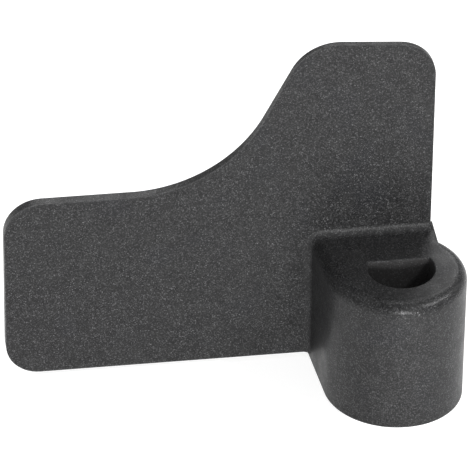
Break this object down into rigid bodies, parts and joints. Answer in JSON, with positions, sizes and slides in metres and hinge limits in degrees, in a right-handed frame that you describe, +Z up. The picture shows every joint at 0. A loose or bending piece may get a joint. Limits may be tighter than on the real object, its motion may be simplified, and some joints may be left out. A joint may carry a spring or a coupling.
{
  "type": "kneading paddle",
  "caption": "Bread-maker kneading paddle: a short round hub with a D-shaped drive bore, joined to a flat blade with a low wing and a tall rounded fin, under a dark flecked non-stick coating.",
  "frame": {"origin": "on the axis of the drive bore, in the plane of the hub's underside", "axes": "+Z up along the bore, +X along the blade away from the wing, +Y from the hub through the blade"},
  "size_m": [0.0559, 0.0179, 0.046],
  "materials": {
    "cast_aluminium": "die cast, faced bare on the underside of the hub",
    "nonstick": "satin dark grey non-stick coating with fine metallic flecks"
  },
  "bodies": {
    "root": {"cast_body": "cast_aluminium", "nonstick_coating": "nonstick"}
  },
  "joints": []
}
